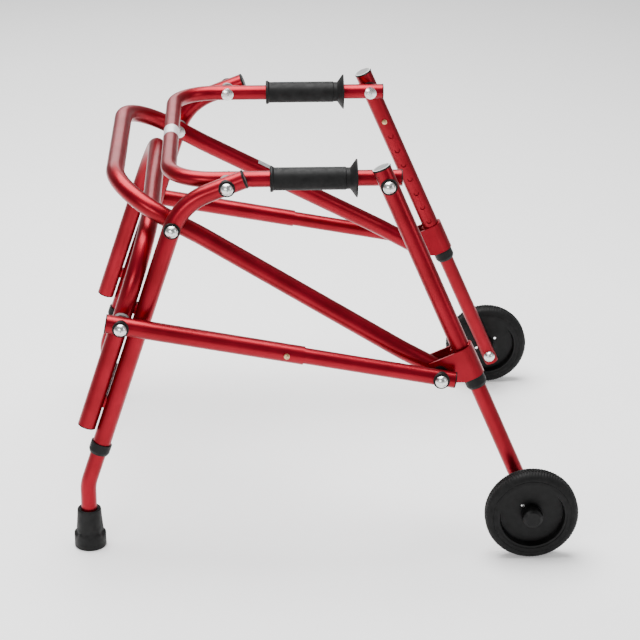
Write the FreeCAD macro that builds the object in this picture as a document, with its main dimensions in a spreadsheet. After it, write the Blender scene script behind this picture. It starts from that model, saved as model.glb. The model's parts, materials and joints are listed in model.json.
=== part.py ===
import FreeCAD, Part
import math
import os
import Sketcher

# A child's posterior walking frame, which stands behind the child and is open in front.
# X runs forward to the wheels, Y to the left of the child, Z up from the floor.
# The origin lies on the floor under the middle of the frame. All lengths are millimetres.

Vector = FreeCAD.Vector
X_AXIS = Vector(1, 0, 0)
Y_AXIS = Vector(0, 1, 0)
Z_AXIS = Vector(0, 0, 1)
SIDES = {"left": 1, "right": -1}

doc = FreeCAD.newDocument("WalkingFrame")
sheet = doc.addObject("Spreadsheet::Sheet", "Params")
cells = {}
nodes = []


# ---------------------------------------------------------------- sizes in the sheet

class Size:
    """A number together with the sheet formula that gives it."""

    def __init__(self, value, formula):
        self.value = value
        self.formula = formula

    def __add__(self, other):
        other = as_size(other)
        return Size(self.value + other.value, "(%s + %s)" % (self.formula, other.formula))

    def __sub__(self, other):
        other = as_size(other)
        return Size(self.value - other.value, "(%s - %s)" % (self.formula, other.formula))

    def __mul__(self, other):
        other = as_size(other)
        return Size(self.value * other.value, "(%s * %s)" % (self.formula, other.formula))

    def __truediv__(self, other):
        other = as_size(other)
        return Size(self.value / other.value, "(%s / %s)" % (self.formula, other.formula))


def as_size(number):
    """Wraps a plain number, so that it can stand beside a Size."""
    if isinstance(number, Size):
        return number
    return Size(float(number), "%.9g" % number)


def cell(name, value):
    """Writes one named value into the sheet, once, and gives it back as a Size."""
    if name not in cells:
        row = len(cells) + 1
        sheet.set("A%d" % row, name)
        sheet.set("B%d" % row, "%.9g" % value)
        sheet.setAlias("B%d" % row, name)
        cells[name] = Size(float(value), "Params." + name)
    return cells[name]


# Overall sizes
overall_length = cell("overall_length", 703)
handle_height = cell("handle_height", 524)
handle_half_width = cell("handle_half_width", 206)
leg_half_width = cell("leg_half_width", 233.4)
wheel_dia = cell("wheel_dia", 130)
wheel_width = cell("wheel_width", 28)
wheel_half_track = cell("wheel_half_track", 304.5)

# Tube stock
outer_tube_dia = cell("outer_tube_dia", 25.4)
inner_tube_dia = cell("inner_tube_dia", 22.2)
inner_tube_wall = cell("inner_tube_wall", 1.4)
loop_wall = cell("loop_wall", 1.6)
slide_clearance = cell("slide_clearance", 0.05)

# Legs
front_lean = cell("front_lean", 23.45)
rear_lean = cell("rear_lean", 18.68)
front_splay = cell("front_splay", 3.262)
rear_splay = cell("rear_splay", 2.577)
rear_head_rise = cell("rear_head_rise", 21)
rear_head_bend = cell("rear_head_bend", 85)
rear_handle_setback = cell("rear_handle_setback", 129.1)
head_overhang = cell("head_overhang", 24)
front_top_height = cell("front_top_height", 545.4)
knee_height = cell("knee_height", 95)
knee_bend = cell("knee_bend", 60)
hole_pitch = cell("hole_pitch", 26)
hole_count = cell("hole_count", 8)
hole_dia = cell("hole_dia", 8.1)
front_button_distance = cell("front_button_distance", 441)
rear_button_rise = cell("rear_button_rise", 300)
inner_tube_headroom = cell("inner_tube_headroom", 25)
rear_tube_end_height = cell("rear_tube_end_height", 148)
axle_tail = cell("axle_tail", 14)
bolt_reach = cell("bolt_reach", 40)
button_reach = cell("button_reach", 20)

# Collars, caps and the rubber tip
collar_dia = cell("collar_dia", 29.6)
collar_length = cell("collar_length", 16)
collar_lip = cell("collar_lip", 6)
cap_thickness = cell("cap_thickness", 2.6)
cap_spigot = cell("cap_spigot", 9)
cap_rim = cell("cap_rim", 0.4)
plug_thickness = cell("plug_thickness", 1.6)
spigot_clearance = cell("spigot_clearance", 0.1)
collar_chamfer = cell("collar_chamfer", 4)
collar_taper = cell("collar_taper", 1.8)
tip_base_dia = cell("tip_base_dia", 45)
tip_top_dia = cell("tip_top_dia", 33.4)
tip_height = cell("tip_height", 58)
tip_flare_height = cell("tip_flare_height", 21)
tip_floor = cell("tip_floor", 6)
tip_edge = cell("tip_edge", 1.5)
tip_flare_ease = cell("tip_flare_ease", 2)
tip_flare_step = cell("tip_flare_step", 2.6)

# Arch behind the rear legs
arch_offset = cell("arch_offset", 27)
arch_height = cell("arch_height", 455)
arch_end_height = cell("arch_end_height", 184)
arch_bend = cell("arch_bend", 95)
tab_length = cell("tab_length", 15)
tab_thickness = cell("tab_thickness", 8)
weld_gap = cell("weld_gap", 0.02)
upper_tab_height = cell("upper_tab_height", 350)
lower_tab_height = cell("lower_tab_height", 214)

# Handlebar
handle_reach_back = cell("handle_reach_back", 208.8)
handle_bend = cell("handle_bend", 62)
handle_overhang = cell("handle_overhang", 18.5)
grip_length = cell("grip_length", 118)
grip_start = cell("grip_start", 58)
grip_dia = cell("grip_dia", 31.4)
grip_rim_dia = cell("grip_rim_dia", 35.6)
grip_flange_dia = cell("grip_flange_dia", 52)
grip_flange_thickness = cell("grip_flange_thickness", 1.6)
grip_bead_round = cell("grip_bead_round", 1)
grip_bead_length = cell("grip_bead_length", 3.2)
grip_bead_foot = cell("grip_bead_foot", 5.4)
grip_groove_depth = cell("grip_groove_depth", 0.9)
grip_groove_back = cell("grip_groove_back", 16)
grip_groove_front = cell("grip_groove_front", 9)
grip_groove_slope = cell("grip_groove_slope", 1)
label_length = cell("label_length", 36)
label_offset = cell("label_offset", -5)
label_thickness = cell("label_thickness", 0.3)
label_wrap = cell("label_wrap", 230)

# Back loop with its two long arms
loop_pivot_height = cell("loop_pivot_height", 466.2)
loop_half_width = cell("loop_half_width", 206.3)
loop_slope = cell("loop_slope", 29.6)
loop_reach = cell("loop_reach", 416.6)
loop_setback = cell("loop_setback", 91.9)
loop_bend = cell("loop_bend", 85)
loop_jog_start = cell("loop_jog_start", 42)
loop_jog_end = cell("loop_jog_end", 356)
loop_jog_bend = cell("loop_jog_bend", 120)
loop_overhang = cell("loop_overhang", 14)

# Bracket on each front leg
bracket_height = cell("bracket_height", 46)
bracket_gap = cell("bracket_gap", 28.6)
bracket_plate = cell("bracket_plate", 2.2)
bracket_reach = cell("bracket_reach", 48)
bracket_base = cell("bracket_base", 203)
bracket_drop = cell("bracket_drop", 14)
bracket_clearance = cell("bracket_clearance", 1)

# Telescopic side bars
side_pivot_drop = cell("side_pivot_drop", 141)
side_rear_half_width = cell("side_rear_half_width", 274.9)
side_front_half_width = cell("side_front_half_width", 279.4)
side_tail = cell("side_tail", 20)
side_outer_reach = cell("side_outer_reach", 250.6)
side_insertion = cell("side_insertion", 80)
side_nose = cell("side_nose", 19)
side_button_back = cell("side_button_back", 24)

# Fasteners
shank_dia = cell("shank_dia", 8)
bore_dia = cell("bore_dia", 8.1)
head_dia = cell("head_dia", 18)
head_height = cell("head_height", 3)
head_rim = cell("head_rim", 0.8)
flush_skirt = cell("flush_skirt", 0.001)
nut_dia = cell("nut_dia", 17)
nut_skirt = cell("nut_skirt", 2.4)
nut_height = cell("nut_height", 8)
ring_dia = cell("ring_dia", 22.4)
ring_lift = cell("ring_lift", 1.4)
spacer_dia = cell("spacer_dia", 21)
saddle_depth = cell("saddle_depth", 7)
pivot_gap = cell("pivot_gap", 0.25)
washer_thickness = cell("washer_thickness", 1.5)

# Snap buttons
button_dia = cell("button_dia", 7.9)
button_stand = cell("button_stand", 2.9)
button_foot_dia = cell("button_foot_dia", 10.4)
button_foot_thickness = cell("button_foot_thickness", 1.4)
button_root = cell("button_root", 5)
button_dome = cell("button_dome", 1.6)

# Wheels
tread_depth = cell("tread_depth", 16)
shoulder_radius = cell("shoulder_radius", 9)
hub_web = cell("hub_web", 4)
hub_boss_dia = cell("hub_boss_dia", 26)
hub_hole_dia = cell("hub_hole_dia", 5)
hub_hole_circle = cell("hub_hole_circle", 34)
hub_cap_dia = cell("hub_cap_dia", 30)
hub_cap_height = cell("hub_cap_height", 15)
hub_cap_pocket_dia = cell("hub_cap_pocket_dia", 14.4)
hub_cap_pocket_depth = cell("hub_cap_pocket_depth", 5)
hub_rim_inset = cell("hub_rim_inset", 3.5)
hub_boss_rise = cell("hub_boss_rise", 7.5)
axle_head_dia = cell("axle_head_dia", 13)
axle_head_height = cell("axle_head_height", 4)
axle_head_setback = cell("axle_head_setback", 8.2)
axle_nut_gap = cell("axle_nut_gap", 0.5)
hub_side_inset = cell("hub_side_inset", 1)
hub_leg_gap = cell("hub_leg_gap", 1)
hub_boss_taper = cell("hub_boss_taper", 3)
hub_rim_taper = cell("hub_rim_taper", 2)
hub_cap_edge = cell("hub_cap_edge", 1)
hub_cap_draft = cell("hub_cap_draft", 1.4)
hub_cap_shoulder = cell("hub_cap_shoulder", 2.5)
hub_cap_face_inset = cell("hub_cap_face_inset", 5)


# ---------------------------------------------------------------- points of the frame

def tangent(angle):
    """The tangent of an angle given in degrees."""
    return math.tan(math.radians(angle))


def leg_plane_y(height, splay, side):
    """How far out a leg's centre line lies at a height above the floor."""
    return side * (leg_half_width.value + (handle_height.value - height) * tangent(splay.value))


def rear_point(x, height, side):
    """A point in the splayed plane of one rear leg."""
    return Vector(x, leg_plane_y(height, rear_splay, side), height)


axle_height = wheel_dia.value / 2
axle_x = overall_length.value / 2 - axle_height
foot_x = tip_base_dia.value / 2 - overall_length.value / 2
rear_button_height = knee_height.value + rear_button_rise.value


def rear_leg_point(height, side):
    """A point on the straight lower part of one rear leg."""
    return rear_point(foot_x + (height - knee_height.value) * tangent(rear_lean.value), height, side)


def front_leg_point(height, side):
    """A point on the centre line of one front leg."""
    x = axle_x - (height - axle_height) * tangent(front_lean.value)
    return Vector(x, leg_plane_y(height, front_splay, side), height)


def front_leg_at(distance, side):
    """A point on a front leg, at a distance above the axle along the leg."""
    rise = distance * math.cos(math.radians(front_lean.value))
    return front_leg_point(axle_height + rise, side)


def along_y(point, half_width, side):
    """The same point seen from the side, at another distance out from the middle."""
    return Vector(point.x, side * half_width, point.z)


def sloping_down(lean):
    """A direction in the XZ plane that leans forward from straight down by some degrees."""
    return Vector(math.sin(math.radians(lean)), 0, -math.cos(math.radians(lean)))


handle_rear = Vector(-rear_handle_setback.value, 0, handle_height.value)
handle_front = along_y(front_leg_point(handle_height.value, 1), 0, 1)
loop_pivot = along_y(rear_leg_point(loop_pivot_height.value, 1), 0, 1)
loop_direction = sloping_down(90 - loop_slope.value)
front_pivot = loop_pivot + loop_direction * loop_reach.value
rear_down = sloping_down(-rear_lean.value)
rear_back = Vector(rear_down.z, 0, -rear_down.x)
side_pivot = loop_pivot + rear_down * side_pivot_drop.value + rear_back * arch_offset.value
front_down = sloping_down(front_lean.value)
front_back = Vector(front_down.z, 0, -front_down.x)


# ---------------------------------------------------------------- building blocks

def frame_at(origin, along, towards=None):
    """A placement with its X axis along a direction and its Y axis leaning to another."""
    x_dir = Vector(along).normalize()
    if towards is None:
        towards = Z_AXIS if abs(x_dir.dot(Z_AXIS)) < 0.9 else X_AXIS
    z_dir = x_dir.cross(towards).normalize()
    y_dir = z_dir.cross(x_dir)
    return FreeCAD.Placement(origin, FreeCAD.Rotation(x_dir, y_dir, z_dir, "XYZ"))


def new_body(name):
    """An empty body."""
    body = doc.addObject("PartDesign::Body", name)
    body.Label = name
    return body


def new_sketch(body, name, role):
    """A sketch on one of the body's own origin planes."""
    sketch = body.newObject("Sketcher::SketchObject", name)
    planes = [plane for plane in body.Origin.OriginFeatures if plane.Role == role]
    sketch.AttachmentSupport = [(planes[0], "")]
    sketch.MapMode = "FlatFace"
    return sketch


def constrain(sketch, formula, *definition):
    """Adds one dimension to a sketch and binds it to a formula."""
    index = sketch.addConstraint(Sketcher.Constraint(*definition))
    sketch.setExpression("Constraints[%d]" % index, formula)


def add_circle(sketch, radius, centre=(0, 0)):
    """Adds a circle whose radius is bound to the sheet."""
    radius = as_size(radius)
    circle = Part.Circle(Vector(centre[0], centre[1], 0), Z_AXIS, radius.value)
    index = sketch.addGeometry(circle)
    if centre == (0, 0):
        sketch.addConstraint(Sketcher.Constraint("Coincident", index, 3, -1, 1))
    constrain(sketch, radius.formula, "Radius", index, radius.value)


def ring_profile(body, outer_radius, inner_radius):
    """The section of a tube, on the plane across its start. It is solid with no inner radius."""
    profile = new_sketch(body, "Section", "YZ_Plane")
    add_circle(profile, outer_radius)
    if inner_radius is not None:
        add_circle(profile, inner_radius)
    return profile


def straight_tube(name, start, end, outer_radius, inner_radius, length_name):
    """A straight tube between two points."""
    body = new_body(name)
    profile = ring_profile(body, outer_radius, inner_radius)
    length = cell(length_name, (end - start).Length)
    pad = body.newObject("PartDesign::Pad", "Tube")
    pad.Profile = profile
    pad.setExpression("Length", length.formula)
    body.Placement = frame_at(start, end - start)
    return body


def bent_tube(name, points, bends, outer_radius, inner_radius, stem):
    """A tube bent in one plane through a row of points, with a bend radius at each inner one."""
    directions = [(b - a).normalize() for a, b in zip(points, points[1:])]
    normal = directions[0].cross(directions[1]).normalize()
    turns = []
    for before, after in zip(directions, directions[1:]):
        sign = 1 if before.cross(after).dot(normal) > 0 else -1
        turns.append(sign * math.degrees(before.getAngle(after)))
    setbacks = [bend.value * tangent(abs(turn) / 2) for bend, turn in zip(bends, turns)]
    trims = [0] + setbacks + [0]
    runs = []
    for i, (a, b) in enumerate(zip(points, points[1:])):
        runs.append((b - a).Length - trims[i] - trims[i + 1])

    body = new_body(name)
    path = new_sketch(body, "Path", "XY_Plane")
    place = Vector(0, 0, 0)
    heading = 0.0
    last = None
    for i, run in enumerate(runs):
        forward = Vector(math.cos(math.radians(heading)), math.sin(math.radians(heading)), 0)
        line = path.addGeometry(Part.LineSegment(place, place + forward * run))
        place = place + forward * run
        if last is None:
            path.addConstraint(Sketcher.Constraint("Coincident", line, 1, -1, 1))
            path.addConstraint(Sketcher.Constraint("Horizontal", line))
        else:
            path.addConstraint(Sketcher.Constraint("Tangent", last[0], last[1], line, 1))
            sweep = cell("%s_heading_%d" % (stem, i), heading)
            constrain(path, sweep.formula, "Angle", line, math.radians(heading))
        length = cell("%s_run_%d" % (stem, i + 1), run)
        constrain(path, length.formula, "Distance", line, run)
        if i == len(turns):
            break
        turn = turns[i]
        hand = 1 if turn > 0 else -1
        sideways = Vector(-forward.y, forward.x, 0) * hand
        centre = place + sideways * bends[i].value
        first = heading - 90 * hand
        second = first + turn
        low, high = sorted((math.radians(first), math.radians(second)))
        circle = Part.Circle(centre, Z_AXIS, bends[i].value)
        arc = path.addGeometry(Part.ArcOfCircle(circle, low, high))
        entry, leave = (1, 2) if hand > 0 else (2, 1)
        path.addConstraint(Sketcher.Constraint("Tangent", line, 2, arc, entry))
        constrain(path, bends[i].formula, "Radius", arc, bends[i].value)
        spoke = Vector(math.cos(math.radians(second)), math.sin(math.radians(second)), 0)
        place = centre + spoke * bends[i].value
        heading = heading + turn
        last = (arc, leave)
    doc.recompute()

    profile = ring_profile(body, outer_radius, inner_radius)
    pipe = body.newObject("PartDesign::AdditivePipe", "Tube")
    pipe.Profile = profile
    edge_count = len(runs) + len(turns)
    pipe.Spine = (path, ["Edge%d" % (i + 1) for i in range(edge_count)])
    body.Placement = frame_at(points[0], directions[0], normal.cross(directions[0]))
    return body


def turned(name, outline, placement, dome=False, angle=None):
    """A turned piece: an outline of distances along X and radii, spun about X.

    With dome, the last stretch is an arc that ends square on the axis."""
    outline = [(as_size(along), as_size(radius)) for along, radius in outline]
    body = new_body(name)
    sketch = new_sketch(body, "Outline", "XY_Plane")
    spots = [Vector(along.value, radius.value, 0) for along, radius in outline]
    count = len(spots)
    for i in range(count):
        start = spots[i]
        end = spots[(i + 1) % count]
        if dome and i == count - 2:
            reach = end.x - start.x
            ball = (start.y ** 2 + reach ** 2) / (2 * reach)
            centre = Vector(end.x - ball, 0, 0)
            lift = math.atan2(start.y, start.x - centre.x)
            sketch.addGeometry(Part.ArcOfCircle(Part.Circle(centre, Z_AXIS, abs(ball)), 0, lift))
            sketch.addConstraint(Sketcher.Constraint("PointOnObject", i, 3, -1))
        else:
            sketch.addGeometry(Part.LineSegment(start, end))
    for i in range(count):
        leaving = 1
        if dome and i == count - 2:
            leaving = 2
        arriving = 2
        if dome and (i - 1) % count == count - 2:
            arriving = 1
        sketch.addConstraint(Sketcher.Constraint("Coincident", (i - 1) % count, arriving, i, leaving))
        along, radius = outline[i]
        if along.value == 0:
            sketch.addConstraint(Sketcher.Constraint("PointOnObject", i, leaving, -2))
        else:
            constrain(sketch, along.formula, "DistanceX", -1, 1, i, leaving, along.value)
        if radius.value == 0:
            sketch.addConstraint(Sketcher.Constraint("PointOnObject", i, leaving, -1))
        else:
            constrain(sketch, radius.formula, "DistanceY", -1, 1, i, leaving, radius.value)
    doc.recompute()
    spin = body.newObject("PartDesign::Revolution", "Spin")
    spin.Profile = sketch
    spin.ReferenceAxis = (sketch, ["H_Axis"])
    if angle is not None:
        spin.setExpression("Angle", angle.formula)
    body.Placement = placement
    return body


def rod(name, start, along, length, radius):
    """A plain round solid, from a point along a direction."""
    solid = doc.addObject("Part::Cylinder", name)
    solid.setExpression("Radius", as_size(radius).formula)
    solid.setExpression("Height", as_size(length).formula)
    solid.Placement = FreeCAD.Placement(start, FreeCAD.Rotation(Z_AXIS, along))
    return solid


def cut(name, base, tools):
    """A piece with one or more tools cut out of it."""
    result = base
    for i, tool in enumerate(tools):
        step = doc.addObject("Part::Cut", name + "_cut")
        step.Base = result
        step.Tool = tool
        result = step
    result.Label = name
    return result


def joined(name, pieces):
    """Pieces fused into one solid."""
    union = doc.addObject("Part::MultiFuse", name)
    union.Shapes = pieces
    union.Label = name
    return union


def group(name, pieces):
    """Separate pieces kept in one sub-part."""
    bundle = doc.addObject("Part::Compound", name)
    bundle.Links = pieces
    bundle.Label = name
    return bundle


def keep(piece):
    """Marks a finished sub-part for writing."""
    nodes.append(piece)
    return piece


OUTER_RADIUS = outer_tube_dia / 2
INNER_RADIUS = inner_tube_dia / 2
OUTER_BORE = INNER_RADIUS + slide_clearance
INNER_BORE = INNER_RADIUS - inner_tube_wall
LONG_CORE = 120
DRILL_MARGIN = 1
AXIS_STEP = 10


def core_of(name, point, along, radius):
    """The solid round core of a tube around a point, used to shape what saddles it."""
    start = point - Vector(along).normalize() * (LONG_CORE / 2)
    return rod(name, start, along, LONG_CORE, radius)


def cross_bore(name, point, side, reach=None):
    """A bolt bore right through a tube, along Y."""
    reach = reach or bolt_reach
    start = point - Y_AXIS * (side * reach.value / 2)
    return rod(name, start, Y_AXIS * side, reach, bore_dia / 2)


def height_holes(name, first, down, side, count):
    """A row of button holes through the inboard wall of a leg."""
    holes = []
    for i in range(count):
        centre = first + Vector(down).normalize() * (hole_pitch.value * i)
        holes.append(rod("%s_hole_%d" % (name, i + 1), centre, Y_AXIS * -side, button_reach, hole_dia / 2))
    return holes


# ---------------------------------------------------------------- fasteners

def acorn_nut(name, base, outward):
    """A domed nut, from its seat outwards."""
    outline = [(0, 0), (0, nut_dia / 2), (nut_skirt, nut_dia / 2), (nut_height, 0)]
    return turned(name, outline, frame_at(base, outward), dome=True)


def domed_head(name, seat, outward, skirt):
    """A smooth domed bolt head whose skirt reaches a little below its seat."""
    skirt = as_size(skirt)
    start = seat - outward * skirt.value
    radius = head_dia / 2
    outline = [(0, 0), (0, radius), (skirt + head_rim, radius), (skirt + head_height, 0)]
    return turned(name, outline, frame_at(start, outward), dome=True)


def saddle_head(name, axis_point, along, tube_radius, outward):
    """A domed head that hugs the side of a tube."""
    seat = axis_point + outward * tube_radius.value
    blank = domed_head(name + "_blank", seat, outward, saddle_depth)
    return cut(name, blank, [core_of(name + "_core", axis_point, along, tube_radius)])


def saddle_ring(name, axis_point, along, tube_radius, outward, diameter, lift, core=None):
    """A washer that hugs the side of a tube and stands a little proud of it.

    A core is the tube's own solid shape, where the washer sits on a bend."""
    start = axis_point + outward * (tube_radius.value - saddle_depth.value)
    length = saddle_depth + lift
    disc = rod(name + "_disc", start, outward, length, diameter / 2)
    hole_start = start - outward * DRILL_MARGIN
    hole = rod(name + "_hole", hole_start, outward, length + DRILL_MARGIN * 2, bore_dia / 2)
    core = core or core_of(name + "_core", axis_point, along, tube_radius)
    return cut(name, disc, [hole, core])


def shank(name, inner, outer):
    """The plain shank of a bolt between two points."""
    length = (outer - inner).Length
    return rod(name, inner, outer - inner, length, shank_dia / 2)


# ---------------------------------------------------------------- rear frame

def rear_leg(side_name, side):
    """A bent rear leg tube with its bolt bores and its row of button holes."""
    rise = math.radians(rear_head_rise.value)
    head_line = Vector(math.cos(rise), 0, math.sin(rise))
    # The corner is where the rising head line meets the straight lower leg.
    gap = handle_rear - loop_pivot
    spread = rear_down.x * head_line.z - rear_down.z * head_line.x
    back = (gap.x * rear_down.z - gap.z * rear_down.x) / spread
    bend_point = handle_rear + head_line * back
    end_point = handle_rear + head_line * head_overhang.value
    top = rear_point(end_point.x, end_point.z, side)
    corner = rear_point(bend_point.x, bend_point.z, side)
    foot = rear_leg_point(rear_tube_end_height.value, side)
    name = "rear_leg_" + side_name
    points = [top, corner, foot]
    blank = bent_tube(name + "_tube", points, [rear_head_bend], OUTER_RADIUS, OUTER_BORE, "rear_leg")
    core = bent_tube(name + "_core", points, [rear_head_bend], OUTER_RADIUS, None, "rear_leg")
    bores = [
        cross_bore(name + "_handle_bore", rear_point(handle_rear.x, handle_rear.z, side), side),
        cross_bore(name + "_loop_bore", rear_leg_point(loop_pivot_height.value, side), side),
    ]
    down = rear_leg_point(rear_tube_end_height.value, side) - rear_leg_point(rear_button_height, side)
    bores += height_holes(name, rear_leg_point(rear_button_height, side), down, side, int(hole_count.value))
    keep(cut(name, blank, bores))
    return leg_cap("rear_leg_cap_" + side_name, top, top - corner), core


def leg_cap(name, end, outward):
    """A flat end cap with a spigot inside the tube."""
    rim = outer_tube_dia / 2 + cap_rim
    spigot = OUTER_BORE - spigot_clearance
    outline = [
        (0, 0), (0, spigot), (cap_spigot, spigot), (cap_spigot, rim),
        (cap_spigot + cap_thickness, rim), (cap_spigot + cap_thickness, 0),
    ]
    direction = Vector(outward).normalize()
    return turned(name, outline, frame_at(end - direction * cap_spigot.value, direction))


def collar(name, tube_end, down):
    """A plastic collar over the end of an outer tube, with a guide lip for the inner one."""
    direction = Vector(down).normalize()
    start = tube_end - direction * (collar_length.value - collar_lip.value)
    radius = collar_dia / 2
    outline = [
        (0, OUTER_RADIUS), (0, radius), (collar_length - collar_chamfer, radius),
        (collar_length, radius - collar_taper),
        (collar_length, OUTER_BORE), (collar_length - collar_lip, OUTER_BORE),
        (collar_length - collar_lip, OUTER_RADIUS),
    ]
    return turned(name, outline, frame_at(start, direction))


def arch_point(height, side):
    """A point on one arm of the arch, behind the rear leg and parallel to it."""
    drop = (height - loop_pivot.z - rear_back.z * arch_offset.value) / rear_down.z
    x = loop_pivot.x + rear_down.x * drop + rear_back.x * arch_offset.value
    leg_height = height - rear_back.z * arch_offset.value
    return Vector(x, leg_plane_y(leg_height, rear_splay, side), height)


def rear_arch():
    """The arch that ties the rear legs together."""
    points = [
        arch_point(arch_end_height.value, -1), arch_point(arch_height.value, -1),
        arch_point(arch_height.value, 1), arch_point(arch_end_height.value, 1),
    ]
    bends = [arch_bend, arch_bend]
    blank = bent_tube("rear_arch_tube", points, bends, OUTER_RADIUS, OUTER_RADIUS - loop_wall, "rear_arch")
    bores = []
    for side_name, side in SIDES.items():
        bores.append(cross_bore("rear_arch_bore_" + side_name, arch_point(side_pivot.z, side), side))
    keep(cut("rear_arch", blank, bores))


def arch_tabs():
    """Four short webs that join the arch to the legs."""
    tabs = []
    for side_name, side in SIDES.items():
        for level, height in (("upper", upper_tab_height.value), ("lower", lower_tab_height.value)):
            name = "arch_tab_%s_%s" % (level, side_name)
            leg_axis = rear_leg_point(height, side)
            down = (rear_leg_point(height - AXIS_STEP, side) - leg_axis).normalize()
            arm_axis = arch_point(height + rear_back.z * arch_offset.value, side)
            back = arm_axis - leg_axis
            block = doc.addObject("Part::Box", name + "_block")
            block.setExpression("Length", arch_offset.formula)
            block.setExpression("Width", tab_length.formula)
            block.setExpression("Height", tab_thickness.formula)
            place = frame_at(leg_axis, back, down)
            corner = Vector(0, -tab_length.value / 2, -tab_thickness.value / 2)
            block.Placement = FreeCAD.Placement(place.multVec(corner), place.Rotation)
            cores = [
                core_of(name + "_leg_core", leg_axis, down, OUTER_RADIUS + weld_gap),
                core_of(name + "_arm_core", arm_axis, down, OUTER_RADIUS + weld_gap),
            ]
            tabs.append(cut(name, block, cores))
    keep(group("arch_tabs", tabs))


def rear_frame():
    """Everything that is fixed to the rear legs."""
    caps = []
    plugs = []
    collars = []
    rings = []
    spacers = []
    bolts = []
    for side_name, side in SIDES.items():
        out = Y_AXIS * side
        cap, leg_core = rear_leg(side_name, side)
        caps.append(cap)
        arm_end = arch_point(arch_end_height.value, side)
        arm_down = arm_end - arch_point(arch_end_height.value + AXIS_STEP, side)
        plugs.append(arch_plug("arch_plug_" + side_name, arm_end, arm_down))
        leg_end = rear_leg_point(rear_tube_end_height.value, side)
        leg_down = leg_end - rear_leg_point(rear_tube_end_height.value + AXIS_STEP, side)
        collars.append(collar("rear_collar_" + side_name, leg_end, leg_down))

        head_axis = rear_point(handle_rear.x, handle_rear.z, side)
        head_line = head_direction(side)
        rings.append(saddle_ring("handle_ring_" + side_name, head_axis, head_line, OUTER_RADIUS, out,
                                 ring_dia, ring_lift))
        handle_face = handle_half_width.value + INNER_RADIUS.value + pivot_gap.value
        lift = abs(head_axis.y) - OUTER_RADIUS.value - handle_face
        spacers.append(saddle_ring("handle_spacer_" + side_name, head_axis, head_line, OUTER_RADIUS, out * -1,
                                   spacer_dia, cell("handle_spacer_lift", lift)))

        loop_axis = rear_leg_point(loop_pivot_height.value, side)
        rings.append(saddle_ring("loop_ring_" + side_name, loop_axis, leg_down, OUTER_RADIUS, out,
                                 ring_dia, ring_lift, leg_core))
        loop_face = loop_half_width.value + OUTER_RADIUS.value + pivot_gap.value
        lift = abs(loop_axis.y) - OUTER_RADIUS.value - loop_face
        spacers.append(saddle_ring("loop_spacer_" + side_name, loop_axis, leg_down, OUTER_RADIUS, out * -1,
                                   spacer_dia, cell("loop_spacer_lift", lift), leg_core))

        arm_axis = arch_point(side_pivot.z, side)
        side_face = side_rear_half_width.value - OUTER_RADIUS.value - pivot_gap.value * 2
        lift = side_face - abs(arm_axis.y) - OUTER_RADIUS.value
        spacers.append(saddle_ring("side_spacer_" + side_name, arm_axis, arm_down, OUTER_RADIUS, out,
                                   spacer_dia, cell("side_spacer_lift", lift)))
        head = saddle_head("side_bolt_head_" + side_name, arm_axis, arm_down, OUTER_RADIUS, out * -1)
        seat_width = side_rear_half_width.value + OUTER_RADIUS.value + ring_lift.value + pivot_gap.value
        seat = along_y(side_pivot, seat_width, side)
        stem = shank("side_bolt_shank_" + side_name, arm_axis - out * OUTER_RADIUS.value, seat)
        bolts.append(joined("side_bolt_" + side_name, [head, stem]))
        bolts.append(acorn_nut("side_nut_" + side_name, seat, out))
    keep(group("rear_leg_caps", caps))
    keep(group("arch_plugs", plugs))
    keep(group("rear_collars", collars))
    keep(group("leg_pivot_rings", rings))
    keep(group("leg_pivot_spacers", spacers))
    keep(group("side_pivot_bolts", bolts))


def head_direction(side):
    """The direction of a rear leg's upper end."""
    rise = math.radians(rear_head_rise.value)
    ahead = rear_point(handle_rear.x + math.cos(rise), handle_rear.z + math.sin(rise), side)
    return ahead - rear_point(handle_rear.x, handle_rear.z, side)


def arch_plug(name, end, outward):
    """A plug in the open end of an arch arm."""
    spigot = OUTER_RADIUS - loop_wall - spigot_clearance
    outline = [
        (0, 0), (0, spigot), (cap_spigot, spigot), (cap_spigot, OUTER_RADIUS),
        (cap_spigot + plug_thickness, OUTER_RADIUS), (cap_spigot + plug_thickness, 0),
    ]
    direction = Vector(outward).normalize()
    return turned(name, outline, frame_at(end - direction * cap_spigot.value, direction))


# ---------------------------------------------------------------- handlebar

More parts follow.
